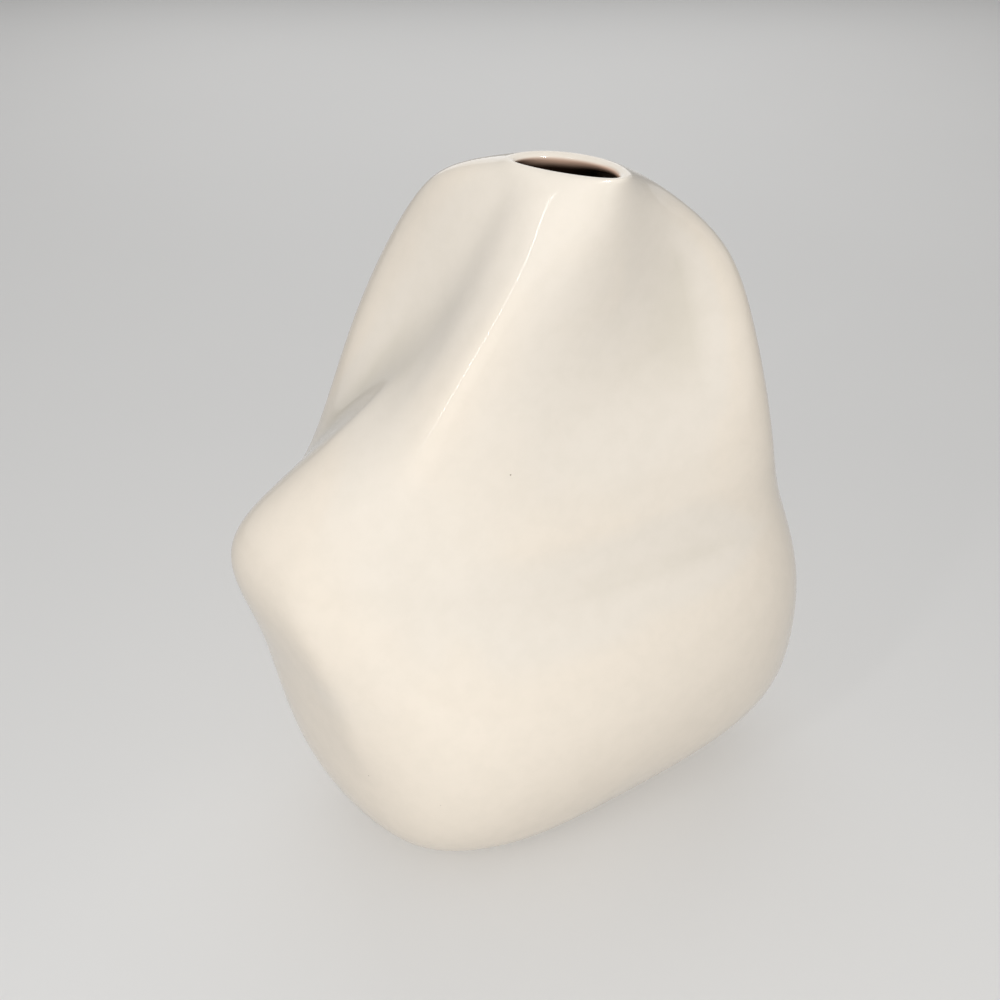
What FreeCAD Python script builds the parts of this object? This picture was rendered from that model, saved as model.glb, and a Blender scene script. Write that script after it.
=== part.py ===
import FreeCAD, Part
import math
import os
import Sketcher

# Free-form slip-cast pillow vase: fired clay body, glaze on the outside, liner glaze inside.
# Z points up, X runs along the wide direction, the broad front face looks towards -Y.
# The origin lies on the resting plane, under the middle of the vase's overall width and depth.

SIZES = {
    "body_height": 217.0,
    "width_module": 100.0,
    "depth_module": 100.0,
    "mouth_length": 33.4,
    "mouth_front_reach": 4.6,
    "mouth_rear_reach": 10.6,
    "mouth_turn": -58.0,
    "mouth_across": 0.2,
    "mouth_back": -11.5,
    "clay_wall": 5.0,
    "lip_wall": 3.4,
    "base_wall": 6.5,
    "glaze_coat": 0.5,
    "liner_coat": 0.4,
    "liner_start": 16.0,
    "underside_length": 90.0,
    "underside_width": 46.0,
    "foot_across": 3.6,
    "foot_back": -1.5,
    "foot_length": 92.0,
    "foot_width": 48.0,
    "foot_ring_wall": 7.0,
    "foot_height": 3.0,
    "foot_round": 1.0,
    "foot_embed": 3.0,
    "bare_margin": 1.2,
}

# Feature lines run up the body from the underside to the neck, named by what they shape.
# Each place is (share of width_module, share of depth_module) from the middle of the foot,
# and each line has one place for each level, a share of body_height.
LEVEL_SHARES = [0.021, 0.083, 0.202, 0.340, 0.451, 0.533, 0.625, 0.736, 0.841, 0.920, 0.970]
LINE_SHARES = {
    "main_ridge": [
        (-0.48, -0.32), (-0.60, -0.42), (-0.65, -0.45), (-0.69, -0.36), (-0.71, -0.25), (-0.68, -0.19),
        (-0.59, -0.18), (-0.46, -0.18), (-0.29, -0.18), (-0.18, -0.18), (-0.14, -0.15),
    ],
    "front_near": [
        (-0.28, -0.38), (-0.34, -0.48), (-0.42, -0.55), (-0.44, -0.49), (-0.43, -0.33), (-0.41, -0.31),
        (-0.36, -0.27), (-0.26, -0.22), (-0.15, -0.22), (-0.09, -0.24), (-0.04, -0.23),
    ],
    "front_middle": [
        (0.00, -0.36), (0.00, -0.47), (0.00, -0.58), (-0.05, -0.57), (-0.05, -0.35), (-0.03, -0.36),
        (0.02, -0.29), (0.06, -0.20), (0.08, -0.22), (0.05, -0.25), (0.04, -0.25),
    ],
    "neck_dent": [
        (0.28, -0.30), (0.45, -0.47), (0.47, -0.54), (0.44, -0.55), (0.41, -0.37), (0.38, -0.38),
        (0.37, -0.32), (0.37, -0.16), (0.35, -0.13), (0.22, -0.18), (0.14, -0.21),
    ],
    "right_shoulder": [
        (0.46, -0.14), (0.77, -0.37), (0.79, -0.40), (0.78, -0.41), (0.70, -0.34), (0.67, -0.36),
        (0.65, -0.33), (0.63, -0.26), (0.56, -0.20), (0.38, -0.14), (0.22, -0.13),
    ],
    "right_end": [
        (0.56, 0.06), (0.87, 0.00), (0.95, -0.08), (0.91, -0.10), (0.82, -0.08), (0.76, -0.06),
        (0.72, -0.03), (0.67, 0.02), (0.58, 0.02), (0.38, -0.01), (0.22, -0.03),
    ],
    "right_rear": [
        (0.46, 0.26), (0.64, 0.34), (0.80, 0.34), (0.84, 0.34), (0.79, 0.31), (0.73, 0.29),
        (0.67, 0.28), (0.57, 0.28), (0.43, 0.20), (0.28, 0.11), (0.19, 0.04),
    ],
    "rear_right": [
        (0.26, 0.36), (0.32, 0.48), (0.38, 0.56), (0.40, 0.58), (0.38, 0.55), (0.36, 0.52),
        (0.33, 0.50), (0.28, 0.46), (0.20, 0.36), (0.13, 0.22), (0.09, 0.10),
    ],
    "rear_middle": [
        (0.00, 0.38), (0.00, 0.50), (0.00, 0.58), (0.00, 0.60), (0.00, 0.58), (-0.02, 0.57),
        (-0.05, 0.56), (-0.06, 0.54), (-0.04, 0.46), (-0.01, 0.33), (-0.01, 0.17),
    ],
    "rear_left": [
        (-0.26, 0.38), (-0.32, 0.50), (-0.34, 0.57), (-0.34, 0.58), (-0.34, 0.58), (-0.34, 0.58),
        (-0.33, 0.58), (-0.28, 0.58), (-0.20, 0.53), (-0.14, 0.41), (-0.12, 0.26),
    ],
    "left_shoulder": [
        (-0.44, 0.32), (-0.56, 0.42), (-0.62, 0.50), (-0.63, 0.52), (-0.61, 0.50), (-0.59, 0.49),
        (-0.55, 0.48), (-0.46, 0.46), (-0.34, 0.43), (-0.27, 0.37), (-0.23, 0.26),
    ],
    "left_valley": [
        (-0.56, 0.22), (-0.70, 0.32), (-0.78, 0.40), (-0.79, 0.42), (-0.79, 0.40), (-0.73, 0.35),
        (-0.53, 0.27), (-0.35, 0.24), (-0.28, 0.15), (-0.23, 0.12), (-0.20, 0.11),
    ],
    "left_knob": [
        (-0.64, 0.02), (-0.81, 0.10), (-0.87, 0.20), (-0.91, 0.26), (-1.02, 0.29), (-1.03, 0.27),
        (-0.79, 0.14), (-0.39, 0.08), (-0.27, 0.05), (-0.20, 0.02), (-0.16, -0.02),
    ],
    "left_facet": [
        (-0.62, -0.22), (-0.75, -0.27), (-0.80, -0.24), (-0.83, -0.17), (-0.92, -0.06), (-0.88, -0.03),
        (-0.70, -0.06), (-0.48, -0.05), (-0.31, -0.06), (-0.22, -0.08), (-0.16, -0.08),
    ],
}
MOUTH_START_DEG = 215.0
UNDERSIDE_START_DEG = 222.0
SPLINE_DEGREE = 3
LIP_STEPS = 4
FLAT_SHARE = 0.00005
HALVINGS = 40
LINER_BANDS = 7
LINER_BELTS = 4

os.makedirs("parts", exist_ok=True)
doc = FreeCAD.newDocument("PillowVase")

sheet = doc.addObject("Spreadsheet::Sheet", "Sizes")
for row, (name, value) in enumerate(SIZES.items(), start=1):
    sheet.set("A%d" % row, name)
    sheet.set("B%d" % row, str(value))
    sheet.setAlias("B%d" % row, name)
doc.recompute()


def size(name):
    """One size from the sheet, in millimetres or degrees."""
    return float(sheet.get(name))


def bind(item, prop, expression):
    """Ties a property to the sheet: a name in <brackets> stands for its cell."""
    item.setExpression(prop, expression.replace("<", "Sizes.").replace(">", ""))


def oval_row(half_length, front_reach, rear_reach, turn, centre, start, z):
    """Poles of a level closed curve that follows an oval, flatter or fuller to the front than behind."""
    count = len(LINE_SHARES)
    swell = 3.0 / (2.0 + math.cos(2.0 * math.pi / count))
    tilt = math.radians(turn)
    poles = []
    for index in range(count):
        angle = math.radians(start - turn) + 2.0 * math.pi * index / count
        along = swell * half_length * math.cos(angle)
        reach = rear_reach if math.sin(angle) > 0.0 else front_reach
        aside = swell * reach * math.sin(angle)
        x = centre[0] + along * math.cos(tilt) - aside * math.sin(tilt)
        y = centre[1] + along * math.sin(tilt) + aside * math.cos(tilt)
        poles.append(FreeCAD.Vector(x, y, z))
    return poles


def body_rows():
    """Rows of poles on the outside of the glaze, from the underside up to the neck."""
    half_length = 0.5 * size("underside_length")
    half_width = 0.5 * size("underside_width")
    foot_middle = (size("foot_across"), size("foot_back"))
    rows = [oval_row(half_length, half_width, half_width, 0.0, foot_middle,
                     UNDERSIDE_START_DEG, size("foot_height"))]
    for level, level_share in enumerate(LEVEL_SHARES):
        row = []
        for places in LINE_SHARES.values():
            across_share, back_share = places[level]
            row.append(FreeCAD.Vector(foot_middle[0] + across_share * size("width_module"),
                                      foot_middle[1] + back_share * size("depth_module"),
                                      level_share * size("body_height")))
        rows.append(row)
    return rows


def mouth_row(out, z):
    """Poles of the mouth's crest line, moved out from the crest and set at a height."""
    return oval_row(0.5 * size("mouth_length") + out, size("mouth_front_reach") + out,
                    size("mouth_rear_reach") + out, size("mouth_turn"),
                    (size("mouth_across"), size("mouth_back")), MOUTH_START_DEG, z)


def lip_middle_z():
    """Height of the middle of the lip's round."""
    return size("body_height") - size("glaze_coat") - 0.5 * size("lip_wall")


def lip_rows(radius):
    """Rows of poles over the rounded lip, from where the body runs into it to its inside."""
    step = math.pi / LIP_STEPS
    pull = radius * 3.0 / (2.0 + math.cos(step))
    return [mouth_row(pull * math.cos(index * step), lip_middle_z() + pull * math.sin(index * step))
            for index in range(1, LIP_STEPS + 1)]


def surface_of(rows):
    """A smooth surface through rows of poles, closed round the body and open at both ends."""
    count = len(rows[0])
    spans = len(rows) - SPLINE_DEGREE
    columns = [[row[index] for row in rows] for index in range(count)]
    end_mult = SPLINE_DEGREE + 1
    surface = Part.BSplineSurface()
    surface.buildFromPolesMultsKnots(
        columns,
        [1] * (count + 1),
        [end_mult] + [1] * (spans - 1) + [end_mult],
        [float(knot) for knot in range(count + 1)],
        [float(knot) for knot in range(spans + 1)],
        True, False, SPLINE_DEGREE, SPLINE_DEGREE)
    return surface


def pull_height(index, spans):
    """Parameter up the body at which the poles of one row pull most."""
    knots = [0] * SPLINE_DEGREE + list(range(spans + 1)) + [spans] * SPLINE_DEGREE
    return sum(knots[index + 1:index + 1 + SPLINE_DEGREE]) / float(SPLINE_DEGREE)


def outward_normals(rows):
    """Unit normals of the surface at every pole, pointing away from the body."""
    surface = surface_of(rows)
    count = len(rows[0])
    spans = len(rows) - SPLINE_DEGREE
    middle = len(rows) // 2
    height = pull_height(middle, spans)
    gaps = [surface.value(float(k), height).distanceToPoint(rows[middle][0]) for k in range(count)]
    first = gaps.index(min(gaps))
    turned = surface.normal(float(first), height).dot(rows[middle][0]) < 0.0
    normals = []
    for index in range(len(rows)):
        height = pull_height(index, spans)
        line = [surface.normal(float((first + column) % count), height) for column in range(count)]
        normals.append([normal.negative() if turned else normal for normal in line])
    return normals


def inset_rows(rows, normals, depth, level_z):
    """The body rows moved into the body by a depth, with the lowest row kept level."""
    moved = [[FreeCAD.Vector(pole.x, pole.y, level_z) for pole in rows[0]]]
    for row, line in zip(rows[1:], normals[1:]):
        moved.append([pole - normal * depth for pole, normal in zip(row, line)])
    return moved


def level_ends(faces):
    """Flat faces that close the level ends of a skin."""
    flat_gap = FLAT_SHARE * size("body_height")
    rims = [edge for face in faces for edge in face.Edges if edge.BoundBox.ZLength < flat_gap]
    return [Part.Face(Part.Wire(ring)) for ring in Part.sortEdges(rims)]


def solid_of(faces):
    """A solid inside faces that close on each other."""
    shell = Part.makeShell(faces)
    shell.sewShape()
    solid = Part.Solid(shell)
    if solid.Volume < 0.0:
        solid.reverse()
    return solid


def swept_surface(rows, normals, outer_depth, inner_depth, underside_z, floor_z, lip_radius):
    """A skin in a single sweep: up the outside, over the lip and down the inside."""
    outside = inset_rows(rows, normals, outer_depth, underside_z)
    inside = inset_rows(rows, normals, inner_depth, floor_z)
    return surface_of(outside + lip_rows(lip_radius) + inside[::-1])


def parameter_inside(surface, height):
    """Parameter along the sweep at which the inside of the neck is at a height."""
    columns = range(len(LINE_SHARES))
    floor_end = surface.bounds()[3]
    low = 0.5 * floor_end
    high = floor_end
    for _ in range(HALVINGS):
        middle = 0.5 * (low + high)
        mean = sum(surface.value(float(k), middle).z for k in columns) / len(columns)
        if mean > height:
            low = middle
        else:
            high = middle
    return middle


def strips(places):
    """Neighbouring pairs of places along one direction of a skin."""
    return list(zip(places[:-1], places[1:]))


def coat_solid(under, over, around, along, seam):
    """Glaze between two skins, in patches round the vase and along the sweep, with a rim at the seam."""
    faces = []
    for skin in (over, under):
        patches = [skin.toShape(start, end, low, high)
                   for start, end in strips(around) for low, high in strips(along)]
        faces += patches + level_ends(patches)
    for start, end in strips(around):
        rims = [skin.vIso(seam).toShape(start, end) for skin in (over, under)]
        faces += Part.makeRuledSurface(rims[0], rims[1]).Faces
    return solid_of(faces)


def feature(name, shape):
    """A document object that holds one computed shape."""
    item = doc.addObject("Part::Feature", name)
    item.Shape = shape
    item.Placement = FreeCAD.Placement()
    return item


def oval_body(name, ovals, length):
    """An upright prism under the foot's middle: its outline is one oval, or the band between two."""
    body = doc.addObject("PartDesign::Body", name)
    ground = [item for item in body.Origin.OriginFeatures if item.Role == "XY_Plane"][0]
    sketch = body.newObject("Sketcher::SketchObject", name + "Outline")
    sketch.AttachmentSupport = [(ground, "")]
    sketch.MapMode = "FlatFace"
    middle = FreeCAD.Vector(0.0, 0.0, 0.0)
    for number, (oval_length, oval_width) in enumerate(ovals):
        half_length = 0.5 * size("foot_length") - number * size("foot_ring_wall")
        half_width = 0.5 * size("foot_width") - number * size("foot_ring_wall")
        long_end = FreeCAD.Vector(half_length, 0.0, 0.0)
        short_end = FreeCAD.Vector(0.0, half_width, 0.0)
        index = sketch.addGeometry(Part.Ellipse(long_end, short_end, middle), False)
        sketch.exposeInternalGeometry(index)
        sketch.addConstraint(Sketcher.Constraint("Coincident", index, 3, -1, 1))
        sketch.addConstraint(Sketcher.Constraint("Horizontal", index + 1))
        for line, label, start, expression in ((index + 1, "Length", 2.0 * half_length, oval_length),
                                               (index + 2, "Width", 2.0 * half_width, oval_width)):
            made = sketch.addConstraint(Sketcher.Constraint("Distance", line, start))
            sketch.renameConstraint(made, "%s%d" % (label, number))
            bind(sketch, "Constraints.%s%d" % (label, number), expression)
    doc.recompute()
    pad = body.newObject("PartDesign::Pad", name + "Pad")
    pad.Profile = sketch
    bind(pad, "Length", length)
    body.Tip = pad
    bind(body, "Placement.Base.x", "<foot_across>")
    bind(body, "Placement.Base.y", "<foot_back>")
    doc.recompute()
    return body


def round_ground_edges(body, radius):
    """Rounds the edges on which a body stands."""
    pad = body.Tip
    flat_gap = FLAT_SHARE * size("body_height")
    edges = ["Edge%d" % number for number, edge in enumerate(pad.Shape.Edges, start=1)
             if edge.BoundBox.ZMax - pad.Shape.BoundBox.ZMin < flat_gap]
    fillet = body.newObject("PartDesign::Fillet", body.Name + "Round")
    fillet.Base = (pad, edges)
    bind(fillet, "Radius", radius)
    body.Tip = fillet
    doc.recompute()


def boolean(kind, name, base, tool):
    """A boolean of two document objects."""
    item = doc.addObject(kind, name)
    item.Base = base
    item.Tool = tool
    doc.recompute()
    return item


# Heights and depths that several surfaces share.
coat = size("glaze_coat")
inner_depth = coat + size("clay_wall")
underside_z = size("foot_height")
clay_underside_z = underside_z + coat
clay_floor_z = clay_underside_z + size("base_wall")
lip_radius = 0.5 * size("lip_wall")

rows = body_rows()
normals = outward_normals(rows + lip_rows(lip_radius + coat))

clay_skin = swept_surface(rows, normals, coat, inner_depth, clay_underside_z, clay_floor_z, lip_radius)
glaze_skin = swept_surface(rows, normals, 0.0, inner_depth + size("liner_coat"), underside_z,
                           clay_floor_z + size("liner_coat"), lip_radius + coat)
sweep_end = clay_skin.bounds()[3]
seam = parameter_inside(clay_skin, size("body_height") - size("liner_start"))

turn = float(len(LINE_SHARES))
liner_bands = [turn * number / LINER_BANDS for number in range(LINER_BANDS + 1)]
liner_belts = [seam + (sweep_end - seam) * number / LINER_BELTS for number in range(LINER_BELTS + 1)]

clay_side = clay_skin.toShape()
clay_wall = feature("ClayWall", solid_of([clay_side] + level_ends([clay_side])))
outer_coat = feature("OuterCoat", coat_solid(clay_skin, glaze_skin, [0.0, turn], [0.0, seam], seam))
liner_glaze = feature("LinerGlaze", coat_solid(clay_skin, glaze_skin, liner_bands, liner_belts, seam))

foot_ring = oval_body("FootRing", [
    ("<foot_length>", "<foot_width>"),
    ("<foot_length> - 2 * <foot_ring_wall>", "<foot_width> - 2 * <foot_ring_wall>"),
], "<foot_height> + <glaze_coat> + <foot_embed>")
round_ground_edges(foot_ring, "<foot_round>")
foot_clearance = oval_body("FootClearance", [
    ("<foot_length> + 2 * <bare_margin>", "<foot_width> + 2 * <bare_margin>"),
], "<foot_height> + <glaze_coat> + <foot_embed>")

clay_body = boolean("Part::Fuse", "ClayBody", clay_wall, foot_ring)
outer_glaze = boolean("Part::Cut", "OuterGlaze", outer_coat, foot_clearance)

PARTS = {"clay_body": clay_body, "outer_glaze": outer_glaze, "liner_glaze": liner_glaze}
for label, item in PARTS.items():
    item.Label = label

doc.recompute()
for item in doc.Objects:
    if {"Invalid", "Error"} & set(item.State):
        raise RuntimeError("%s does not compute" % item.Name)
    shape = getattr(item, "Shape", None)
    if shape is not None and (shape.isNull() or not shape.isValid()):
        raise RuntimeError("%s has a bad shape" % item.Name)
for label, item in PARTS.items():
    shape = item.Shape
    print("%s: %d solid, %.1f mm3, %s" % (label, len(shape.Solids), shape.Volume, shape.BoundBox))
    shape.exportStep("parts/%s.step" % label)
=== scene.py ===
"""Dresses the pillow vase: its glossy coat, its liner, its bare clay foot, and a plain studio round it.

Every length is in metres. Z points up, the origin is on the table under the middle of the vase,
and the broad front face looks towards -Y.
"""

import math

import bpy
from bpy.props import FloatProperty, FloatVectorProperty, IntProperty, PointerProperty
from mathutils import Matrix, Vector


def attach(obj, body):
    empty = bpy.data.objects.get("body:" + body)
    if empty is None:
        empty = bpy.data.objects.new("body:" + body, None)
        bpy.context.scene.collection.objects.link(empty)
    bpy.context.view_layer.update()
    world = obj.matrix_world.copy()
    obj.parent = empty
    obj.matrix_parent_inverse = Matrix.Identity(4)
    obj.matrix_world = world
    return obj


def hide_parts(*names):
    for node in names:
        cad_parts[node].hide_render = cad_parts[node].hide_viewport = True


bl_info = {
    "name": "Pillow Vase",
    "version": (1, 0, 0),
    "blender": (4, 5, 0),
    "location": "View3D > Sidebar > Vase",
    "description": "Models the glaze of a free-form pillow vase and sets it in a plain studio",
    "category": "Object",
}

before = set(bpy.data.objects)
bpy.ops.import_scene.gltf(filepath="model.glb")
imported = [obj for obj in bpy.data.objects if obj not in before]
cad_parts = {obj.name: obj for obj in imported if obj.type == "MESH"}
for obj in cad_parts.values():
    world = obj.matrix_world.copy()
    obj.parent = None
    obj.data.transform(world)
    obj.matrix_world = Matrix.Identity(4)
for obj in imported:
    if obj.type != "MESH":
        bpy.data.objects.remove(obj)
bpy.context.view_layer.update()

# Feature lines run up the vase from the underside to the neck, named by what they shape.
# Each place is (share of the width module, share of the depth module) from the middle of the foot,
# one for each level, and a level is a share of the height.
LEVEL_SHARES = [0.021, 0.083, 0.202, 0.340, 0.451, 0.533, 0.625, 0.736, 0.841, 0.920, 0.970]
LINE_SHARES = {
    "main_ridge": [
        (-0.48, -0.32), (-0.60, -0.42), (-0.65, -0.45), (-0.69, -0.36), (-0.71, -0.25), (-0.68, -0.19),
        (-0.59, -0.18), (-0.46, -0.18), (-0.29, -0.18), (-0.18, -0.18), (-0.14, -0.15),
    ],
    "front_near": [
        (-0.28, -0.38), (-0.34, -0.48), (-0.42, -0.55), (-0.44, -0.49), (-0.43, -0.33), (-0.41, -0.31),
        (-0.36, -0.27), (-0.26, -0.22), (-0.15, -0.22), (-0.09, -0.24), (-0.04, -0.23),
    ],
    "front_middle": [
        (0.00, -0.36), (0.00, -0.47), (0.00, -0.58), (-0.05, -0.57), (-0.05, -0.35), (-0.03, -0.36),
        (0.02, -0.29), (0.06, -0.20), (0.08, -0.22), (0.05, -0.25), (0.04, -0.25),
    ],
    "neck_dent": [
        (0.28, -0.30), (0.45, -0.47), (0.47, -0.54), (0.44, -0.55), (0.41, -0.37), (0.38, -0.38),
        (0.37, -0.32), (0.37, -0.16), (0.35, -0.13), (0.22, -0.18), (0.14, -0.21),
    ],
    "right_shoulder": [
        (0.46, -0.14), (0.77, -0.37), (0.79, -0.40), (0.78, -0.41), (0.70, -0.34), (0.67, -0.36),
        (0.65, -0.33), (0.63, -0.26), (0.56, -0.20), (0.38, -0.14), (0.22, -0.13),
    ],
    "right_end": [
        (0.56, 0.06), (0.87, 0.00), (0.95, -0.08), (0.91, -0.10), (0.82, -0.08), (0.76, -0.06),
        (0.72, -0.03), (0.67, 0.02), (0.58, 0.02), (0.38, -0.01), (0.22, -0.03),
    ],
    "right_rear": [
        (0.46, 0.26), (0.64, 0.34), (0.80, 0.34), (0.84, 0.34), (0.79, 0.31), (0.73, 0.29),
        (0.67, 0.28), (0.57, 0.28), (0.43, 0.20), (0.28, 0.11), (0.19, 0.04),
    ],
    "rear_right": [
        (0.26, 0.36), (0.32, 0.48), (0.38, 0.56), (0.40, 0.58), (0.38, 0.55), (0.36, 0.52),
        (0.33, 0.50), (0.28, 0.46), (0.20, 0.36), (0.13, 0.22), (0.09, 0.10),
    ],
    "rear_middle": [
        (0.00, 0.38), (0.00, 0.50), (0.00, 0.58), (0.00, 0.60), (0.00, 0.58), (-0.02, 0.57),
        (-0.05, 0.56), (-0.06, 0.54), (-0.04, 0.46), (-0.01, 0.33), (-0.01, 0.17),
    ],
    "rear_left": [
        (-0.26, 0.38), (-0.32, 0.50), (-0.34, 0.57), (-0.34, 0.58), (-0.34, 0.58), (-0.34, 0.58),
        (-0.33, 0.58), (-0.28, 0.58), (-0.20, 0.53), (-0.14, 0.41), (-0.12, 0.26),
    ],
    "left_shoulder": [
        (-0.44, 0.32), (-0.56, 0.42), (-0.62, 0.50), (-0.63, 0.52), (-0.61, 0.50), (-0.59, 0.49),
        (-0.55, 0.48), (-0.46, 0.46), (-0.34, 0.43), (-0.27, 0.37), (-0.23, 0.26),
    ],
    "left_valley": [
        (-0.56, 0.22), (-0.70, 0.32), (-0.78, 0.40), (-0.79, 0.42), (-0.79, 0.40), (-0.73, 0.35),
        (-0.53, 0.27), (-0.35, 0.24), (-0.28, 0.15), (-0.23, 0.12), (-0.20, 0.11),
    ],
    "left_knob": [
        (-0.64, 0.02), (-0.81, 0.10), (-0.87, 0.20), (-0.91, 0.26), (-1.02, 0.29), (-1.03, 0.27),
        (-0.79, 0.14), (-0.39, 0.08), (-0.27, 0.05), (-0.20, 0.02), (-0.16, -0.02),
    ],
    "left_facet": [
        (-0.62, -0.22), (-0.75, -0.27), (-0.80, -0.24), (-0.83, -0.17), (-0.92, -0.06), (-0.88, -0.03),
        (-0.70, -0.06), (-0.48, -0.05), (-0.31, -0.06), (-0.22, -0.08), (-0.16, -0.08),
    ],
}
LINES = list(LINE_SHARES)

# Where the first line meets the underside's oval and the mouth's oval, and how far the mouth is turned.
UNDERSIDE_START_DEG = 222.0
MOUTH_START_DEG = 215.0
MOUTH_TURN_DEG = -58.0

# Rows of the cage over the lip and down the inside of the neck.
LIP_STEPS = 4
NECK_ROWS = 3

# How far a smooth surface is pulled to a cage point and to that point's two neighbours.
PULLS = (1.0 / 6.0, 2.0 / 3.0, 1.0 / 6.0)

# Places along the sweep are counted in rows, up the outside, over the lip and down the neck.
# The glaze's lower edge is looked for from the first row to the last bare one, the liner starts at
# the seam, and two places nearer than the grain are one.
FIRST_ROW = 1.0
LAST_BARE_ROW = 3.0
SEAM_ROW = 16.607
SWEEP_GRAIN = 0.001

# The ring that a cage is extruded from, before its points move to their places.
RING_RADIUS = 0.05
RING_LIFT = 0.001

# A dent of the cage that is this deep counts as a hollow of one.
HOLLOW_DEPTH = 0.0045

# Folds that are crisper than the rest: line, first and last row, and how sharp, from 0 to 1.
FOLDS = (("main_ridge", 5, 11, 0.32), ("left_facet", 3, 6, 0.42), ("left_knob", 7, 8, 0.45))

# Scales of the patterns in the glaze, the liner and the clay.
GLAZE_SCALES = {"Clouds per Metre": 24.0, "Pinholes per Metre": 42.0, "Ripples per Metre": 62.0}
LINER_SCALES = {"Clouds per Metre": 40.0, "Pinholes per Metre": 60.0, "Ripples per Metre": 90.0}
CLAY_SCALES = {"Specks per Metre": 1100.0, "Stains per Metre": 70.0}

# Where in a noise, from 0 to 1, each kind of cloud starts and where it is full.
CLOUD_EDGES = (0.36, 0.66)
FINE_CLOUD_EDGES = (0.35, 0.70)
STAIN_EDGES = (0.38, 0.68)
FLOOR_CLOUD_EDGES = (0.3, 0.7)

# Tones of the glaze: how hollow the surface is where each starts and ends, and how strong it gets. The
# pooled tone is partly real pooling and partly painted shade in the creases.
POOLED_SHADE_TONE = (0.1, 1.6, 0.5)
THIN_TONE = (-0.9, -0.1, 0.8)

# Rows of the sweep over which painted shade turns the glaze tan, and then dark, down the neck.
TAN_SHADE_ROWS = (13.9, 14.6)
DARK_SHADOW_ROWS = (14.65, 15.1)

# How far clouds shift the tones and rows, how strong the fine mottling is, and how the roughness
# varies with it.
CLOUD_SHIFT = 0.35
MOTTLING = 0.10
ROUGHNESS_RANGE = (-0.02, 0.03)

# Pinholes: their rim as a share of a cell, the share of cells without one, their stain and depth.
PINHOLE_RIM = (0.007, 0.014)
PINHOLE_RARITY = 0.45
PINHOLE_STAIN = 0.8
PINHOLE_DEPTH = 0.8

# The glaze's fine clouds, and the faint orange peel on its ripple.
FINE_CLOUDS_PER_METRE = 190.0
PEEL_PER_METRE = 620.0
PEEL_DEPTH = 0.035

# Grog in the clay: its rim as a share of a cell, the share of cells without any, and its depth.
GROG_RIM = (0.18, 0.42)
GROG_RARITY = 0.80
GROG_DEPTH = 0.5

# The clay's sandy grain, and how strongly its stains show.
GRAIN_PER_METRE = 2300.0
STAIN_STRENGTH = 0.5

# Heights between which the rubbing of the foot fades, how strong it is on clear and on stained clay,
# and the roughness of fresh and of rubbed clay.
RUB_HEIGHTS = (0.0001, 0.0012)
RUB_STRENGTHS = (0.35, 0.8)
CLAY_ROUGHNESS = (0.88, 0.55)

# The floor's faint clouds.
FLOOR_CLOUDS_PER_METRE = 3.0
FLOOR_CLOUD_STRENGTH = 0.12
FLOOR_ROUGHNESS = 0.75

# Where the lamps hang from the point that the camera looks at, and their width and height.
# The key and the strip go by the camera: back towards it, to its right, and up in the picture.
KEY_PLACE = (1.10, 0.02, 0.10)
KEY_SIZE = (0.12, 0.12)
STRIP_PLACE = (0.85, -0.52, 0.09)
STRIP_SIZE = (0.012, 0.40)
FILL_PLACE = (-0.3, 0.1, 1.2)
FILL_SIZE = (1.2, 1.2)
REAR_REACH = 0.90
REAR_SIZE = (1.0, 1.0)
SENSOR_WIDTH_MM = 36.0


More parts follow.
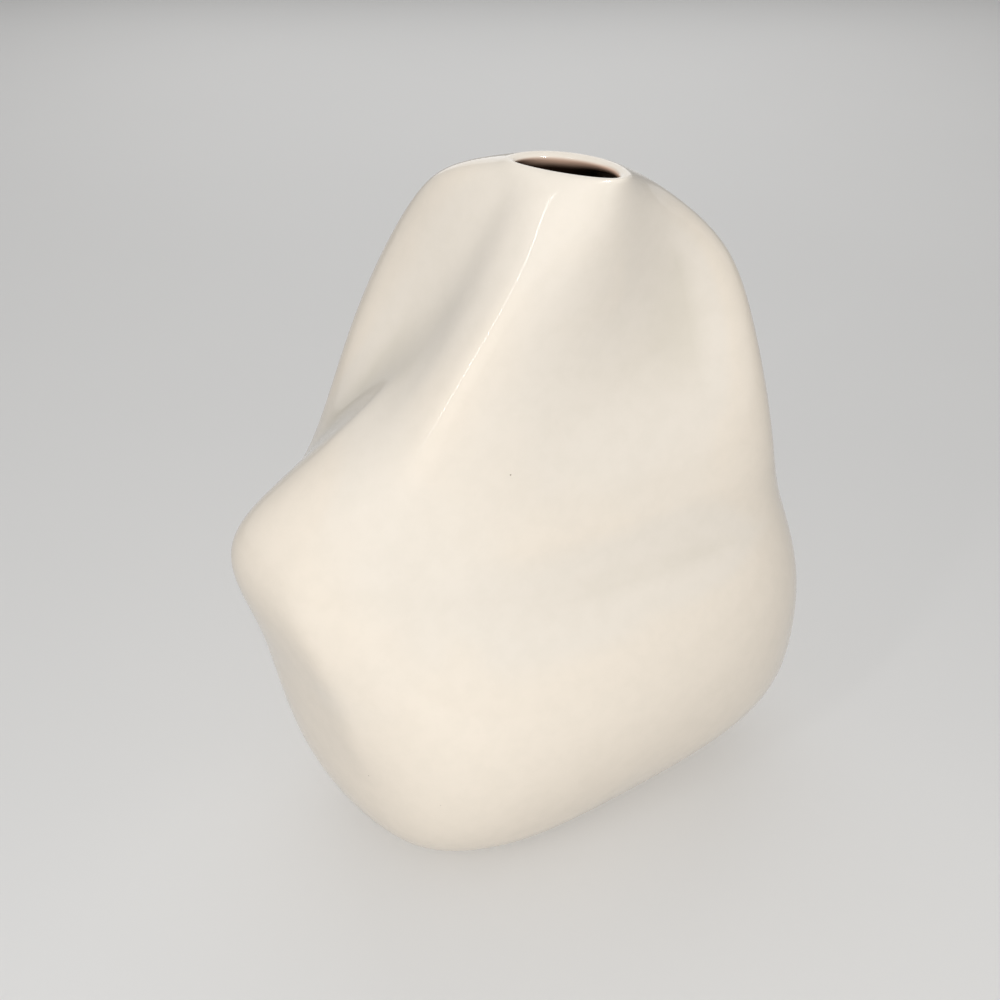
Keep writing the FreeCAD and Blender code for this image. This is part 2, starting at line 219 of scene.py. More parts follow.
class GlazeSettings(bpy.types.PropertyGroup):
    """Sizes and colours of the glossy coat."""

    height: FloatProperty(name="Height", description="Height of the vase", default=0.217,
                          unit="LENGTH")
    width_module: FloatProperty(name="Width module", default=0.100, unit="LENGTH",
                                description="Length that the shares across the vase refer to")
    depth_module: FloatProperty(name="Depth module", default=0.100, unit="LENGTH",
                                description="Length that the shares from front to back refer to")
    foot_across: FloatProperty(name="Foot across", description="How far the foot stands to the right",
                               default=0.0036, unit="LENGTH")
    foot_back: FloatProperty(name="Foot back", description="How far the foot stands to the back",
                             default=-0.0015, unit="LENGTH")
    underside_length: FloatProperty(name="Underside length", default=0.090, unit="LENGTH",
                                    description="Length of the oval on which the belly closes")
    underside_width: FloatProperty(name="Underside width", default=0.046, unit="LENGTH",
                                   description="Width of the oval on which the belly closes")
    underside_z: FloatProperty(name="Underside height", default=0.003, unit="LENGTH",
                               description="Height of the belly's lowest edge above the table")
    foot_length: FloatProperty(name="Foot length", description="Length of the bare clay foot",
                               default=0.092, unit="LENGTH")
    foot_width: FloatProperty(name="Foot width", description="Width of the bare clay foot",
                              default=0.048, unit="LENGTH")
    bare_margin: FloatProperty(name="Bare margin", default=0.0012, unit="LENGTH",
                               description="Band of clay that is wiped clean round the foot")
    mouth_length: FloatProperty(name="Mouth length", description="Length of the lip's crest line",
                                default=0.0334, unit="LENGTH")
    mouth_front: FloatProperty(name="Mouth front", default=0.0046, unit="LENGTH",
                               description="Reach of the lip's crest to the front, flatter side")
    mouth_rear: FloatProperty(name="Mouth rear", default=0.0106, unit="LENGTH",
                              description="Reach of the lip's crest to the rear, fuller side")
    mouth_across: FloatProperty(name="Mouth across", description="Place of the mouth across the vase",
                                default=0.0002, unit="LENGTH")
    mouth_back: FloatProperty(name="Mouth back", description="Place of the mouth from front to back",
                              default=-0.0115, unit="LENGTH")
    lip_radius: FloatProperty(name="Lip radius", description="Radius of the rounded, glazed lip",
                              default=0.0022, unit="LENGTH")
    wall: FloatProperty(name="Wall", description="Wall of the vase with its glaze, in the neck",
                        default=0.0059, unit="LENGTH")
    coat: FloatProperty(name="Coat", description="Thickness of the glaze", default=0.0005,
                        unit="LENGTH")
    gap: FloatProperty(name="Gap", description="Clearance between the glaze's inner side and the clay",
                       default=0.00005, unit="LENGTH")
    colour: FloatVectorProperty(name="Colour", description="Colour of the glaze on level stretches",
                                subtype="COLOR", default=(0.800, 0.735, 0.645), min=0.0, max=1.0)
    thin_colour: FloatVectorProperty(name="Thin colour", subtype="COLOR", min=0.0, max=1.0,
                                     description="Colour where the glaze has run thin over a ridge",
                                     default=(0.830, 0.745, 0.635))
    # Partly painted shade: a cooler, darker tone for glaze pooled in hollows, also laid to darken the
    # creases; it tints the random mottling too.
    pooled_and_shade_colour: FloatVectorProperty(name="Pooled colour", subtype="COLOR", min=0.0, max=1.0,
                                       description="Colour where the glaze has pooled in a hollow",
                                       default=(0.640, 0.590, 0.490))
    pit_colour: FloatVectorProperty(name="Pit colour", subtype="COLOR", min=0.0, max=1.0,
                                    description="Colour at the bottom of a pinhole",
                                    default=(0.300, 0.220, 0.160))
    # Painted shade inside the neck: a warm tan where the shaded wall would pick up bounce light.
    neck_shade_colour: FloatVectorProperty(name="Neck colour", subtype="COLOR", min=0.0, max=1.0,
                                     description="Colour of the thin glaze just inside the lip",
                                     default=(0.760, 0.520, 0.390))
    # Painted shadow: near black where the neck's wall lies deep in shade.
    deep_shadow_colour: FloatVectorProperty(name="Deep colour", subtype="COLOR", min=0.0, max=1.0,
                                     description="Colour where the glaze meets the liner",
                                     default=(0.050, 0.028, 0.018))
    roughness: FloatProperty(name="Roughness", description="Roughness of the glaze", default=0.11,
                             min=0.0, max=1.0)
    ripple: FloatProperty(name="Ripple", description="Height of the glaze's ripple", default=0.00022,
                          unit="LENGTH")
    outer_levels: IntProperty(name="Outer levels", description="Subdivision of the outer side",
                              default=4, min=2, max=5)
    inner_levels: IntProperty(name="Inner levels", description="Subdivision of the inner side",
                              default=3, min=2, max=5)


class LinerSettings(bpy.types.PropertyGroup):
    """Colours and finish of the coat inside."""

    # Partly painted shade: a brown liner glaze, made darker so that the inside of the vase reads as deep
    # shade.
    colour: FloatVectorProperty(name="Colour", description="Colour of the liner glaze",
                                subtype="COLOR", default=(0.160, 0.105, 0.075), min=0.0, max=1.0)
    run_colour: FloatVectorProperty(name="Run colour", description="Colour where the liner ran thick",
                                    subtype="COLOR", default=(0.250, 0.175, 0.125), min=0.0, max=1.0)
    roughness: FloatProperty(name="Roughness", description="Roughness of the liner", default=0.16,
                             min=0.0, max=1.0)
    ripple: FloatProperty(name="Ripple", description="Height of the liner's ripple", default=0.0002,
                          unit="LENGTH")


class ClaySettings(bpy.types.PropertyGroup):
    """Colours and finish of the bare clay."""

    colour: FloatVectorProperty(name="Colour", description="Colour of the fired clay",
                                subtype="COLOR", default=(0.62, 0.50, 0.37), min=0.0, max=1.0)
    speck_colour: FloatVectorProperty(name="Speck colour", description="Colour of the clay's grog",
                                      subtype="COLOR", default=(0.34, 0.25, 0.17), min=0.0, max=1.0)
    stain_colour: FloatVectorProperty(name="Stain colour", description="Colour of flashed patches",
                                      subtype="COLOR", default=(0.54, 0.40, 0.28), min=0.0, max=1.0)
    rubbed_colour: FloatVectorProperty(name="Rubbed colour", subtype="COLOR", min=0.0, max=1.0,
                                       description="Colour where the foot has rubbed on tables",
                                       default=(0.36, 0.30, 0.24))
    grain: FloatProperty(name="Grain", description="Height of the clay's grain", default=0.00015,
                         unit="LENGTH")


class StudioSettings(bpy.types.PropertyGroup):
    """The floor, the lamps and the camera."""

    floor_size: FloatProperty(name="Floor size", description="Side of the floor", default=6.0,
                              unit="LENGTH")
    floor_colour: FloatVectorProperty(name="Floor colour", description="Colour of the floor",
                                      subtype="COLOR", default=(0.75, 0.745, 0.735), min=0.0, max=1.0)
    floor_shade: FloatVectorProperty(name="Floor shade", description="Colour of its faint clouds",
                                     subtype="COLOR", default=(0.65, 0.645, 0.635), min=0.0, max=1.0)
    look_across: FloatProperty(name="Look across", default=-0.0044, unit="LENGTH",
                               description="Where the camera looks, across the vase")
    look_back: FloatProperty(name="Look back", default=0.0135, unit="LENGTH",
                             description="Where the camera looks, from front to back")
    look_height: FloatProperty(name="Look height", description="Height at which the camera looks",
                               default=0.100, unit="LENGTH")
    azimuth: FloatProperty(name="Azimuth", description="Turn of the camera round the vase",
                           default=math.radians(-32.0), subtype="ANGLE")
    elevation: FloatProperty(name="Elevation", description="Rise of the camera above the horizon",
                             default=math.radians(33.0), subtype="ANGLE")
    distance: FloatProperty(name="Distance", description="From the camera to where it looks",
                            default=0.470, unit="LENGTH")
    focal_share: FloatProperty(name="Focal share", default=1.48,
                               description="Focal length as a share of the picture's width")
    key_power: FloatProperty(name="Key power", description="Power of the lamp by the camera",
                             default=7.8, unit="POWER")
    strip_power: FloatProperty(name="Strip power", unit="POWER", default=0.55,
                               description="Power of the tall narrow lamp that draws the streaks")
    fill_power: FloatProperty(name="Fill power", description="Power of the wide soft lamp overhead",
                              default=0.5, unit="POWER")
    rear_power: FloatProperty(name="Rear power", description="Power of the soft lamp behind the vase",
                              default=2.3, unit="POWER")
    world_level: FloatProperty(name="World level", description="Strength of the even light all round",
                               default=0.31)
    backdrop_level: FloatProperty(name="Backdrop level", default=0.62,
                                  description="Brightness of the plain background behind the floor")


def clear_selection():
    """Nothing is selected and nothing is in edit mode."""
    if bpy.context.object and bpy.context.object.mode != "OBJECT":
        bpy.ops.object.mode_set(mode="OBJECT")
    bpy.ops.object.select_all(action="DESELECT")


def pick(obj):
    """Only this object is selected, and it is the active one."""
    clear_selection()
    obj.select_set(True)
    bpy.context.view_layer.objects.active = obj


def pick_points(obj, wanted):
    """Selects the points of a mesh whose numbers are wanted, and leaves it in edit mode."""
    pick(obj)
    bpy.ops.object.mode_set(mode="EDIT")
    bpy.ops.mesh.select_mode(type="VERT")
    bpy.ops.mesh.select_all(action="DESELECT")
    bpy.ops.object.mode_set(mode="OBJECT")
    for point in obj.data.vertices:
        point.select = point.index in wanted
    bpy.ops.object.mode_set(mode="EDIT")


def apply_modifier(obj, modifier):
    """Makes a modifier part of the mesh."""
    pick(obj)
    bpy.ops.object.modifier_apply(modifier=modifier.name)


def swell(turn):
    """How much wider than a round its cage must be, when the cage's points are a turn apart."""
    return 3.0 / (2.0 + math.cos(turn))


def oval_row(half_length, front, rear, turn, centre, start, z):
    """A level row of cage points that follows an oval, with its own reach to the front and rear."""
    count = len(LINES)
    wide = swell(2.0 * math.pi / count)
    row = []
    for index in range(count):
        angle = math.radians(start - turn) + 2.0 * math.pi * index / count
        along = wide * half_length * math.cos(angle)
        aside = wide * (rear if math.sin(angle) > 0.0 else front) * math.sin(angle)
        tilt = math.radians(turn)
        row.append(Vector((centre[0] + along * math.cos(tilt) - aside * math.sin(tilt),
                           centre[1] + along * math.sin(tilt) + aside * math.cos(tilt), z)))
    return row


def mouth_row(glaze, out, z):
    """A cage row round the mouth, moved out from the lip's crest line."""
    return oval_row(0.5 * glaze.mouth_length + out, glaze.mouth_front + out, glaze.mouth_rear + out,
                    MOUTH_TURN_DEG, (glaze.mouth_across, glaze.mouth_back), MOUTH_START_DEG, z)


def body_rows(glaze):
    """Cage rows from the underside up to the neck, on the outside of the glaze."""
    half_width = 0.5 * glaze.underside_width
    foot = (glaze.foot_across, glaze.foot_back)
    rows = [oval_row(0.5 * glaze.underside_length, half_width, half_width, 0.0, foot,
                     UNDERSIDE_START_DEG, glaze.underside_z)]
    for level, share in enumerate(LEVEL_SHARES):
        rows.append([Vector((foot[0] + places[level][0] * glaze.width_module,
                             foot[1] + places[level][1] * glaze.depth_module,
                             share * glaze.height)) for places in LINE_SHARES.values()])
    return rows


def lip_rows(glaze):
    """Cage rows over the rounded lip, from its outer shoulder to its inside."""
    step = math.pi / LIP_STEPS
    pull = glaze.lip_radius * swell(step)
    middle = glaze.height - glaze.lip_radius
    return [mouth_row(glaze, pull * math.cos(index * step), middle + pull * math.sin(index * step))
            for index in range(1, LIP_STEPS + 1)]


def outward(rows):
    """Unit normals of the smooth surface where each cage point pulls most."""
    count = len(LINES)
    normals = []
    for number in range(len(rows)):
        near = [rows[max(number - 1, 0)], rows[number], rows[min(number + 1, len(rows) - 1)]]
        line = []
        for index in range(count):
            columns = (index - 1, index, (index + 1) % count)
            around = sum((pull * (row[columns[2]] - row[columns[0]]) for pull, row in zip(PULLS, near)),
                         Vector())
            upward = sum((pull * (near[2][column] - near[0][column])
                          for pull, column in zip(PULLS, columns)), Vector())
            line.append(around.cross(upward).normalized())
        normals.append(line)
    return normals


def glaze_rows(glaze):
    """Every cage row of the glaze's outer side: belly, neck, lip and the top of the neck's inside."""
    body = body_rows(glaze)
    lip = lip_rows(glaze)
    normals = outward(body + lip)
    inside = [[point - glaze.wall * normal for point, normal in zip(body[number], normals[number])]
              for number in range(len(body) - 1, len(body) - 1 - NECK_ROWS, -1)]
    start = lead_in(body[0], body[1], body[2])
    return start + body[2:] + lip + inside


def lead_in(first, second, third):
    """Two rows that let an open cage start on its first row, as if the row held three rows in one."""
    below = [1.5 * b - 0.5 * c for b, c in zip(second, third)]
    lowest = [3.0 * (2.0 * a - b) - 2.0 * q for a, b, q in zip(first, second, below)]
    return [lowest, below]


def cage_from_rows(name, rows):
    """A tube of faces through rows of points: a ring, extruded row by row and moved to its places."""
    clear_selection()
    bpy.ops.mesh.primitive_circle_add(vertices=len(LINES), radius=RING_RADIUS, fill_type="NOTHING")
    cage = bpy.context.object
    cage.name = cage.data.name = name
    count = len(LINES)
    for point, place in zip(cage.data.vertices, rows[0]):
        point.co = place
    for number, row in enumerate(rows[1:], start=1):
        pick_points(cage, set(range((number - 1) * count, number * count)))
        bpy.ops.mesh.extrude_region_move(TRANSFORM_OT_translate={"value": (0.0, 0.0, RING_LIFT)})
        bpy.ops.object.mode_set(mode="OBJECT")
        for index, place in enumerate(row):
            cage.data.vertices[number * count + index].co = place
    return cage


def sharpen_folds(cage):
    """Marks the cage's edges along the crisper folds, so that subdivision keeps them tighter."""
    count = len(LINES)
    for line, first, last, sharpness in FOLDS:
        column = LINES.index(line)
        pick_points(cage, {row * count + column for row in range(first, last + 1)})
        bpy.ops.transform.edge_crease(value=sharpness)
        bpy.ops.object.mode_set(mode="OBJECT")


def point_values(obj, name):
    """The values of a named attribute, one for each point."""
    return [item.value for item in obj.data.attributes[name].data]


def mark_points(obj, name, values):
    """Gives every point of a mesh a value under a name, which materials can read."""
    layer = obj.data.attributes.new(name, "FLOAT", "POINT")
    for item, value in zip(layer.data, values):
        item.value = value


def hollows(rows):
    """How hollow the cage is at each point: above zero in a dent, below zero on a ridge."""
    count = len(LINES)
    values = []
    normals = outward(rows)
    for number, row in enumerate(rows):
        below, above = rows[max(number - 1, 0)], rows[min(number + 1, len(rows) - 1)]
        for index, point in enumerate(row):
            middle = 0.25 * (row[index - 1] + row[(index + 1) % count] + below[index] + above[index])
            values.append((middle - point).dot(normals[number][index]) / HOLLOW_DEPTH)
    return values


def subdivided(obj, levels):
    """Smooths a cage by subdivision, as part of its mesh."""
    smooth = obj.modifiers.new("Smooth", "SUBSURF")
    smooth.levels = smooth.render_levels = levels
    apply_modifier(obj, smooth)


def trimmed(obj, first, last):
    """Keeps the stretch of the sweep between two rows."""
    sweep = point_values(obj, "sweep")
    spare = {index for index, place in enumerate(sweep)
             if place < first - SWEEP_GRAIN or place > last + SWEEP_GRAIN}
    pick_points(obj, spare)
    bpy.ops.mesh.delete(type="VERT")
    bpy.ops.object.mode_set(mode="OBJECT")


def bare_row(glaze, rows, step):
    """The lowest row, in steps of the sweep, that clears the oval wiped clean round the foot."""
    reach = (0.5 * glaze.foot_length + glaze.bare_margin, 0.5 * glaze.foot_width + glaze.bare_margin)
    place = FIRST_ROW
    while place < LAST_BARE_ROW:
        place += step
        points = [spline_point(rows, index, place) for index in range(len(LINES))]
        if all(((point.x - glaze.foot_across) / reach[0]) ** 2
               + ((point.y - glaze.foot_back) / reach[1]) ** 2 >= 1.0 for point in points):
            break
    return place


def spline_point(rows, index, place):
    """The smooth surface's point on one line of the cage, at a place along the sweep."""
    row = int(place)
    share = place - row

    # The shares of a cubic spline: how far the surface is pulled to each of the four nearest rows.
    pulls = ((1.0 - share) ** 3 / 6.0, (3.0 * share ** 3 - 6.0 * share ** 2 + 4.0) / 6.0,
             (3.0 * (share + share ** 2 - share ** 3) + 1.0) / 6.0, share ** 3 / 6.0)
    point = Vector()
    for pull_along, number in zip(pulls, range(row - 1, row + 3)):
        near = rows[number]
        for pull_round, column in zip(PULLS, (index - 1, index, (index + 1) % len(LINES))):
            point += pull_along * pull_round * near[column]
    return point


def slide_rim(obj, step):
    """Brings the last row of points back along the sweep to the line where the liner starts."""
    sweep = point_values(obj, "sweep")
    rim = [index for index, place in enumerate(sweep) if place > SEAM_ROW]
    before = [index for index, place in enumerate(sweep)
              if abs(place - (sweep[rim[0]] - step)) < SWEEP_GRAIN]
    back = (sweep[rim[0]] - SEAM_ROW) / step
    points = obj.data.vertices
    for index in rim:
        near = min(before, key=lambda other: (points[other].co - points[index].co).length)
        points[index].co = points[index].co.lerp(points[near].co, back)


def coat_side(name, levels, rows, marks, first, last):
    """One side of the coat: the marked cage, smoothed and trimmed from its first to its last place."""
    side = cage_from_rows(name, rows)
    sharpen_folds(side)
    for mark, values in marks.items():
        mark_points(side, mark, values)
    subdivided(side, levels)
    trimmed(side, first, last)
    slide_rim(side, 0.5 ** levels)
    return side


def face_outward(side):
    """Turns every face of one side of the coat away from the vase, and leaves it in edit mode."""
    pick(side)
    bpy.ops.object.mode_set(mode="EDIT")
    bpy.ops.mesh.select_all(action="SELECT")
    bpy.ops.mesh.normals_make_consistent(inside=False)


def close_rim(coat, place):
    """Joins the outer and the inner side of the coat along one row."""
    pick_points(coat, {index for index, value in enumerate(point_values(coat, "sweep"))
                       if abs(value - place) < SWEEP_GRAIN})
    bpy.ops.mesh.bridge_edge_loops()
    bpy.ops.object.mode_set(mode="OBJECT")


class VASE_OT_glaze(bpy.types.Operator):
    """Models the glossy coat over the outside, the lip and the top of the neck"""

    bl_idname = "vase.glaze"
    bl_label = "Glaze coat"

    def execute(self, context):
        glaze = context.scene.vase_glaze
        rows = glaze_rows(glaze)
        marks = {"sweep": [float(number) for number in range(len(rows)) for _ in LINES],
                 "hollow": hollows(rows)}
        step = 0.5 ** glaze.inner_levels
        first = bare_row(glaze, rows, step)
        last = math.ceil(SEAM_ROW / step) * step
        coat = coat_side("glaze_coat", glaze.outer_levels, rows, marks, first, last)
        back = coat_side("glaze_back", glaze.inner_levels, rows, marks, first, last)
        face_outward(back)
        bpy.ops.transform.shrink_fatten(value=-(glaze.coat - glaze.gap))
        bpy.ops.mesh.flip_normals()
        face_outward(coat)
        bpy.ops.object.mode_set(mode="OBJECT")
        back.select_set(True)
        bpy.ops.object.join()
        close_rim(coat, first)
        close_rim(coat, last)
        pick(coat)
        bpy.ops.object.shade_smooth()
        coat.data.materials.append(glossy_glaze(glaze))
        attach(coat, "root")
        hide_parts("outer_glaze")
        return {"FINISHED"}


class VASE_OT_liner(bpy.types.Operator):
    """Gives the coat inside the vase its finish"""

    bl_idname = "vase.liner"
    bl_label = "Liner"

    def execute(self, context):
        paint(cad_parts["liner_glaze"], liner_finish(context.scene.vase_liner))
        return {"FINISHED"}


class VASE_OT_clay(bpy.types.Operator):
    """Gives the fired clay, which shows at the foot, its finish"""

    bl_idname = "vase.clay"
    bl_label = "Bare clay"

    def execute(self, context):
        paint(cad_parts["clay_body"], bare_clay(context.scene.vase_clay))
        return {"FINISHED"}


def paint(obj, material):
    """Puts one material in every slot of an object."""
    if not obj.material_slots:
        obj.data.materials.append(material)
    for material_slot in obj.material_slots:
        material_slot.material = material


def node(tree, kind, values=None, **settings):
    """A node with its settings, and with values in its named sockets."""
    made = tree.nodes.new(kind)
    for key, value in settings.items():
        setattr(made, key, value)
    for key, value in (values or {}).items():
        made.inputs[key].default_value = value
    return made


def ramp(tree, source, low, high, bottom=0.0, top=1.0):
    """Turns a value smoothly into another range."""
    made = node(tree, "ShaderNodeMapRange", {"From Min": low, "From Max": high, "To Min": bottom,
                                             "To Max": top}, interpolation_type="SMOOTHSTEP")
    tree.links.new(source, made.inputs["Value"])
    return made.outputs["Result"]


def sums(tree, operation, first, second):
    """One sum on two sources, each a socket or a number."""
    made = node(tree, "ShaderNodeMath", operation=operation)
    for socket, source in zip(made.inputs, (first, second)):
        if isinstance(source, float):
            socket.default_value = source
        else:
            tree.links.new(source, socket)
    return made.outputs["Value"]


def blend(tree, factor, first, second):
    """Mixes two colours, each a socket or a plain colour, by a mask."""
    made = node(tree, "ShaderNodeMix", data_type="RGBA")
    tree.links.new(factor, made.inputs["Factor"])
    for socket, source in zip((made.inputs[6], made.inputs[7]), (first, second)):
        if isinstance(source, bpy.types.NodeSocket):
            tree.links.new(source, socket)
        else:
            socket.default_value = (*source, 1.0)
    return made.outputs[2]


def new_group(name, numbers, outputs):
    """An empty shader node group with named number inputs and value outputs."""
    tree = bpy.data.node_groups.new(name, "ShaderNodeTree")
    for label, default in numbers.items():
        socket = tree.interface.new_socket(name=label, in_out="INPUT", socket_type="NodeSocketFloat")
        socket.default_value = default
    for label in outputs:
        tree.interface.new_socket(name=label, in_out="OUTPUT", socket_type="NodeSocketFloat")
    return tree, tree.nodes.new("NodeGroupInput"), tree.nodes.new("NodeGroupOutput")


def pattern(tree, kind, where, scale, values=None):
    """A procedural texture on object coordinates, at a scale per metre."""
    made = node(tree, kind, values)
    tree.links.new(where, made.inputs["Vector"])
    if isinstance(scale, float):
        made.inputs["Scale"].default_value = scale
    else:
        tree.links.new(scale, made.inputs["Scale"])
    return made


def glaze_surface_group():
    """Clouds of tone, pinholes and the faint ripple of a fired glaze."""
    if "glaze_surface" in bpy.data.node_groups:
        return bpy.data.node_groups["glaze_surface"]
    tree, start, end = new_group("glaze_surface", GLAZE_SCALES,
                                 ["Clouds", "Fine Clouds", "Pinholes", "Height"])
    where = tree.nodes.new("ShaderNodeTexCoord").outputs["Object"]
    clouds = pattern(tree, "ShaderNodeTexNoise", where, start.outputs["Clouds per Metre"],
                     {"Detail": 2.0, "Roughness": 0.45, "Distortion": 0.4})
    tree.links.new(ramp(tree, clouds.outputs["Fac"], *CLOUD_EDGES), end.inputs["Clouds"])
    fine = pattern(tree, "ShaderNodeTexNoise", where, FINE_CLOUDS_PER_METRE,
                   {"Detail": 3.0, "Roughness": 0.6})
    tree.links.new(ramp(tree, fine.outputs["Fac"], *FINE_CLOUD_EDGES), end.inputs["Fine Clouds"])
    cells = pattern(tree, "ShaderNodeTexVoronoi", where, start.outputs["Pinholes per Metre"])
    holes = ramp(tree, cells.outputs["Distance"], *PINHOLE_RIM, 1.0, 0.0)
    parts = tree.nodes.new("ShaderNodeSeparateColor")
    tree.links.new(cells.outputs["Color"], parts.inputs["Color"])
    chosen = sums(tree, "GREATER_THAN", parts.outputs["Red"], PINHOLE_RARITY)
    pinholes = sums(tree, "MULTIPLY", holes, chosen)
    tree.links.new(pinholes, end.inputs["Pinholes"])
    ripple = pattern(tree, "ShaderNodeTexNoise", where, start.outputs["Ripples per Metre"],
                     {"Detail": 1.0, "Roughness": 0.4})
    peel = pattern(tree, "ShaderNodeTexNoise", where, PEEL_PER_METRE, {"Detail": 1.0})
    height = sums(tree, "ADD", ripple.outputs["Fac"],
                  sums(tree, "MULTIPLY", peel.outputs["Fac"], PEEL_DEPTH))
    tree.links.new(sums(tree, "SUBTRACT", height, sums(tree, "MULTIPLY", pinholes, PINHOLE_DEPTH)),
                   end.inputs["Height"])
    return tree


def clay_grain_group():
    """Specks of grog, stains and the sandy grain of fired clay."""
    if "clay_grain" in bpy.data.node_groups:
        return bpy.data.node_groups["clay_grain"]
    tree, start, end = new_group("clay_grain", CLAY_SCALES, ["Specks", "Stains", "Height"])
    where = tree.nodes.new("ShaderNodeTexCoord").outputs["Object"]
    cells = pattern(tree, "ShaderNodeTexVoronoi", where, start.outputs["Specks per Metre"])
    parts = tree.nodes.new("ShaderNodeSeparateColor")
    tree.links.new(cells.outputs["Color"], parts.inputs["Color"])
    chosen = sums(tree, "GREATER_THAN", parts.outputs["Green"], GROG_RARITY)
    specks = sums(tree, "MULTIPLY", ramp(tree, cells.outputs["Distance"], *GROG_RIM, 1.0, 0.0), chosen)
    tree.links.new(specks, end.inputs["Specks"])
    stains = pattern(tree, "ShaderNodeTexNoise", where, start.outputs["Stains per Metre"],
                     {"Detail": 4.0, "Roughness": 0.6})
    tree.links.new(ramp(tree, stains.outputs["Fac"], *STAIN_EDGES), end.inputs["Stains"])
    grain = pattern(tree, "ShaderNodeTexNoise", where, GRAIN_PER_METRE, {"Detail": 3.0, "Roughness": 0.7})
    pits = sums(tree, "MULTIPLY", specks, GROG_DEPTH)
    tree.links.new(sums(tree, "SUBTRACT", grain.outputs["Fac"], pits), end.inputs["Height"])
    return tree


def group_node(tree, group, values):
    """Places a node group in a material, with that material's own values."""
    made = tree.nodes.new("ShaderNodeGroup")
    made.node_tree = group
    for key, value in values.items():
        made.inputs[key].default_value = value
    return made


def new_material(name, roughness):
    """A material with one shader."""
    material = bpy.data.materials.new(name)
    material.use_nodes = True
    shader = material.node_tree.nodes["Principled BSDF"]
    shader.inputs["Roughness"].default_value = roughness
    return material, material.node_tree, shader


def bump(tree, shader, height, distance):
    """Raises and lowers a surface by a height of up to a distance."""
    made = node(tree, "ShaderNodeBump", {"Distance": distance})
    tree.links.new(height, made.inputs["Height"])
    tree.links.new(made.outputs["Normal"], shader.inputs["Normal"])


def glossy_glaze(glaze):
    """Cream-white gloss: warmer and thinner on the ridges, cooler where it pooled and darker as painted
    shade in the hollows, with painted shade down the neck.
    """
    material, tree, shader = new_material("glossy_glaze", glaze.roughness)
    surface = group_node(tree, glaze_surface_group(), GLAZE_SCALES)
    hollow = node(tree, "ShaderNodeAttribute", attribute_name="hollow").outputs["Fac"]
    sweep = node(tree, "ShaderNodeAttribute", attribute_name="sweep").outputs["Fac"]
    wander = sums(tree, "MULTIPLY", sums(tree, "SUBTRACT", surface.outputs["Clouds"], 0.5), CLOUD_SHIFT)
    uneven = sums(tree, "ADD", hollow, wander)
    # Pooled tone: real pooling of the glaze, and painted shade darkening the hollows and creases.
    pooled = ramp(tree, uneven, POOLED_SHADE_TONE[0], POOLED_SHADE_TONE[1], 0.0, POOLED_SHADE_TONE[2])
    thin = ramp(tree, uneven, THIN_TONE[0], THIN_TONE[1], THIN_TONE[2], 0.0)
    colour = blend(tree, pooled, glaze.colour, glaze.pooled_and_shade_colour)
    colour = blend(tree, thin, colour, glaze.thin_colour)
    mottled = sums(tree, "MULTIPLY", surface.outputs["Fine Clouds"], MOTTLING)
    colour = blend(tree, mottled, colour, glaze.pooled_and_shade_colour)
    # Painted shade down the neck: tan, then near black, by place along the sweep.
    neck_shade_sweep = sums(tree, "ADD", sweep, wander)
    colour = blend(tree, ramp(tree, neck_shade_sweep, *TAN_SHADE_ROWS), colour, glaze.neck_shade_colour)
    colour = blend(tree, ramp(tree, neck_shade_sweep, *DARK_SHADOW_ROWS), colour, glaze.deep_shadow_colour)
    colour = blend(tree, sums(tree, "MULTIPLY", surface.outputs["Pinholes"], PINHOLE_STAIN), colour,
                   glaze.pit_colour)
    tree.links.new(colour, shader.inputs["Base Color"])
    rough = ramp(tree, surface.outputs["Fine Clouds"], 0.0, 1.0, glaze.roughness + ROUGHNESS_RANGE[0],
                 glaze.roughness + ROUGHNESS_RANGE[1])
    tree.links.new(rough, shader.inputs["Roughness"])
    bump(tree, shader, surface.outputs["Height"], glaze.ripple)
    return material


def liner_finish(liner):
    """Thin glossy brown glaze, darkened in part as painted shade for the deep inside, lighter where it
    ran down and gathered.
    """
    material, tree, shader = new_material("liner_finish", liner.roughness)
    surface = group_node(tree, glaze_surface_group(), LINER_SCALES)
    colour = blend(tree, surface.outputs["Clouds"], liner.colour, liner.run_colour)
    tree.links.new(colour, shader.inputs["Base Color"])
    bump(tree, shader, surface.outputs["Height"], liner.ripple)
    return material


def bare_clay(clay):
    """Matt fired clay with dark grog and stains, rubbed darker and smoother where it stands."""
    material, tree, shader = new_material("bare_clay", CLAY_ROUGHNESS[0])
    grain = group_node(tree, clay_grain_group(), CLAY_SCALES)
    colour = blend(tree, sums(tree, "MULTIPLY", grain.outputs["Stains"], STAIN_STRENGTH), clay.colour,
                   clay.stain_colour)
    colour = blend(tree, grain.outputs["Specks"], colour, clay.speck_colour)
    where = tree.nodes.new("ShaderNodeTexCoord").outputs["Object"]
    heights = tree.nodes.new("ShaderNodeSeparateXYZ")
    tree.links.new(where, heights.inputs["Vector"])
    low = ramp(tree, heights.outputs["Z"], *RUB_HEIGHTS, 1.0, 0.0)
    rubbed = sums(tree, "MULTIPLY", low, ramp(tree, grain.outputs["Stains"], 0.0, 1.0, *RUB_STRENGTHS))
    tree.links.new(blend(tree, rubbed, colour, clay.rubbed_colour), shader.inputs["Base Color"])
    tree.links.new(ramp(tree, rubbed, 0.0, 1.0, *CLAY_ROUGHNESS), shader.inputs["Roughness"])
    bump(tree, shader, grain.outputs["Height"], clay.grain)
    return material


def floor_paint(studio):
    """Pale matt floor with a trace of unevenness."""
    material, tree, shader = new_material("floor_paint", FLOOR_ROUGHNESS)
    where = tree.nodes.new("ShaderNodeTexCoord").outputs["Object"]
    cloud = pattern(tree, "ShaderNodeTexNoise", where, FLOOR_CLOUDS_PER_METRE, {"Detail": 3.0})
    shade = ramp(tree, cloud.outputs["Fac"], *FLOOR_CLOUD_EDGES, 0.0, FLOOR_CLOUD_STRENGTH)
    tree.links.new(blend(tree, shade, studio.floor_colour, studio.floor_shade),
                   shader.inputs["Base Color"])
    return material


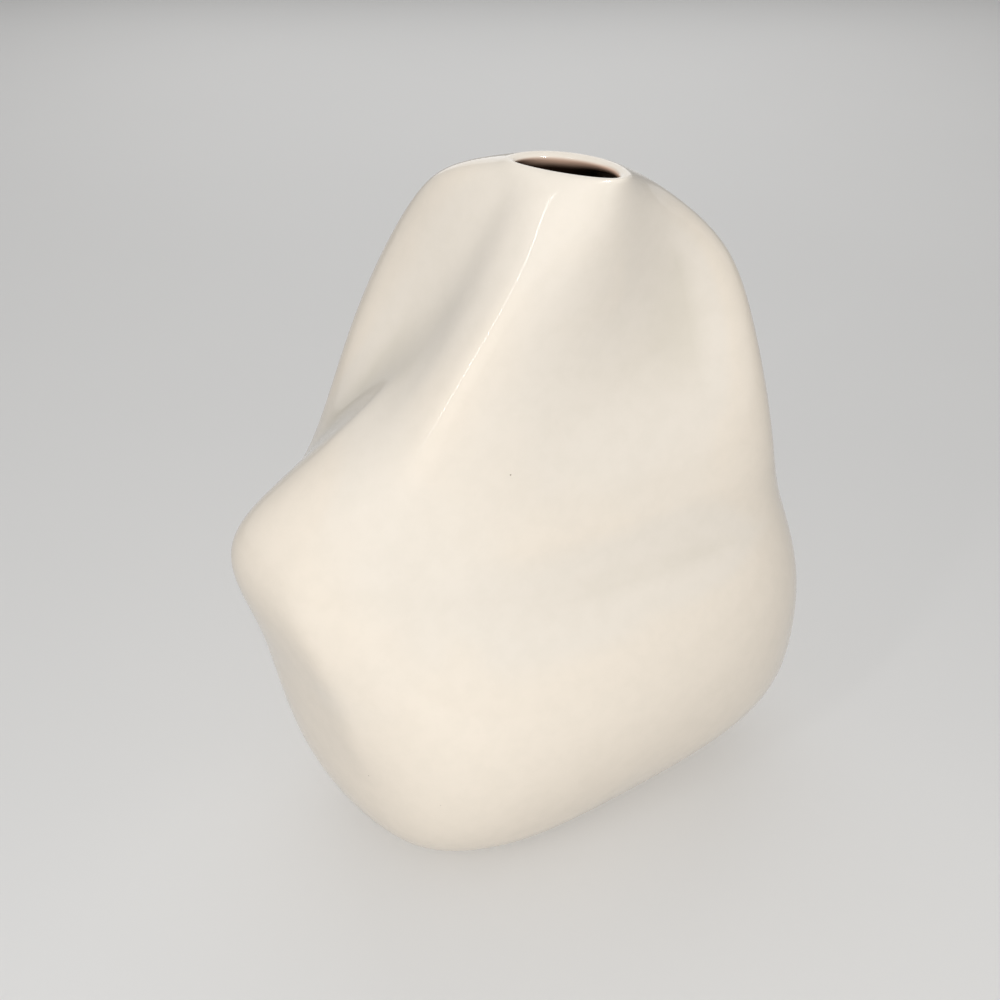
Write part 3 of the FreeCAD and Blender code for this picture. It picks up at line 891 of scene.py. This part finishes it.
def even_light(studio):
    """A world that lights evenly from all round, and that looks pale where it is seen."""
    world = bpy.data.worlds.new("even_light")
    world.use_nodes = True
    tree = world.node_tree
    rays = tree.nodes.new("ShaderNodeLightPath").outputs
    seen = sums(tree, "MAXIMUM", sums(tree, "MAXIMUM", rays["Is Camera Ray"], rays["Is Glossy Ray"]),
                rays["Is Transmission Ray"])
    light = tree.nodes["Background"].inputs
    light["Color"].default_value = (1.0, 1.0, 1.0, 1.0)
    step = sums(tree, "MULTIPLY", seen, studio.backdrop_level - studio.world_level)
    tree.links.new(sums(tree, "ADD", step, studio.world_level), light["Strength"])
    return world


def hang_lamp(name, place, look, size, power):
    """A soft rectangular lamp at a place, turned to where the camera looks."""
    bpy.ops.object.light_add(type="AREA", location=place)
    light = bpy.context.object
    light.name = name
    light.data.shape = "RECTANGLE"
    light.data.size, light.data.size_y = size
    light.data.energy = power
    light.rotation_euler = (look - place).to_track_quat("-Z", "Y").to_euler()


class VASE_OT_studio(bpy.types.Operator):
    """Lays a plain pale floor, hangs the lamps and sets up the camera"""

    bl_idname = "vase.studio"
    bl_label = "Studio"

    def execute(self, context):
        studio = context.scene.vase_studio
        clear_selection()
        bpy.ops.mesh.primitive_plane_add(size=studio.floor_size, location=(0.0, 0.0, 0.0))
        floor = context.object
        floor.name = "floor"
        floor.data.materials.append(floor_paint(studio))

        back = Vector((math.sin(studio.azimuth) * math.cos(studio.elevation),
                       -math.cos(studio.azimuth) * math.cos(studio.elevation),
                       math.sin(studio.elevation)))
        right = Vector((math.cos(studio.azimuth), math.sin(studio.azimuth), 0.0))
        up = back.cross(right)
        look = Vector((studio.look_across, studio.look_back, studio.look_height))
        bpy.ops.object.camera_add(location=look + studio.distance * back)
        camera = context.object
        camera.rotation_euler = (-back).to_track_quat("-Z", "Y").to_euler()
        camera.data.sensor_width = SENSOR_WIDTH_MM
        camera.data.lens = SENSOR_WIDTH_MM * studio.focal_share
        context.scene.camera = camera

        def by_camera(place):
            return look + place[0] * back + place[1] * right + place[2] * up

        behind = back * Vector((1.0, 1.0, -1.0))
        hang_lamp("key", by_camera(KEY_PLACE), look, KEY_SIZE, studio.key_power)
        hang_lamp("strip", by_camera(STRIP_PLACE), look, STRIP_SIZE, studio.strip_power)
        hang_lamp("fill", look + Vector(FILL_PLACE), look, FILL_SIZE, studio.fill_power)
        hang_lamp("rear", look - REAR_REACH * behind, look, REAR_SIZE, studio.rear_power)
        context.scene.world = even_light(studio)
        context.scene.view_settings.view_transform = "Standard"
        return {"FINISHED"}


class VASE_PT_sidebar(bpy.types.Panel):
    """Lists the vase's pieces in the 3D view's sidebar"""

    bl_idname = "VASE_PT_sidebar"
    bl_label = "Pillow Vase"
    bl_space_type = "VIEW_3D"
    bl_region_type = "UI"
    bl_category = "Vase"

    def draw(self, context):
        for operator in OPERATORS:
            self.layout.operator(operator.bl_idname)


SETTINGS = (GlazeSettings, LinerSettings, ClaySettings, StudioSettings)
OPERATORS = (VASE_OT_glaze, VASE_OT_liner, VASE_OT_clay, VASE_OT_studio)


def register():
    """Makes the settings, the operators and the panel known."""
    for group in SETTINGS + OPERATORS + (VASE_PT_sidebar,):
        bpy.utils.register_class(group)
    bpy.types.Scene.vase_glaze = PointerProperty(type=GlazeSettings)
    bpy.types.Scene.vase_liner = PointerProperty(type=LinerSettings)
    bpy.types.Scene.vase_clay = PointerProperty(type=ClaySettings)
    bpy.types.Scene.vase_studio = PointerProperty(type=StudioSettings)


def unregister():
    """Takes the settings, the operators and the panel away again."""
    del bpy.types.Scene.vase_glaze
    del bpy.types.Scene.vase_liner
    del bpy.types.Scene.vase_clay
    del bpy.types.Scene.vase_studio
    for group in reversed(SETTINGS + OPERATORS + (VASE_PT_sidebar,)):
        bpy.utils.unregister_class(group)


def main():
    """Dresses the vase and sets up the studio."""
    register()
    for step in (bpy.ops.vase.glaze, bpy.ops.vase.liner, bpy.ops.vase.clay, bpy.ops.vase.studio):
        step()


if __name__ == "__main__":
    main()
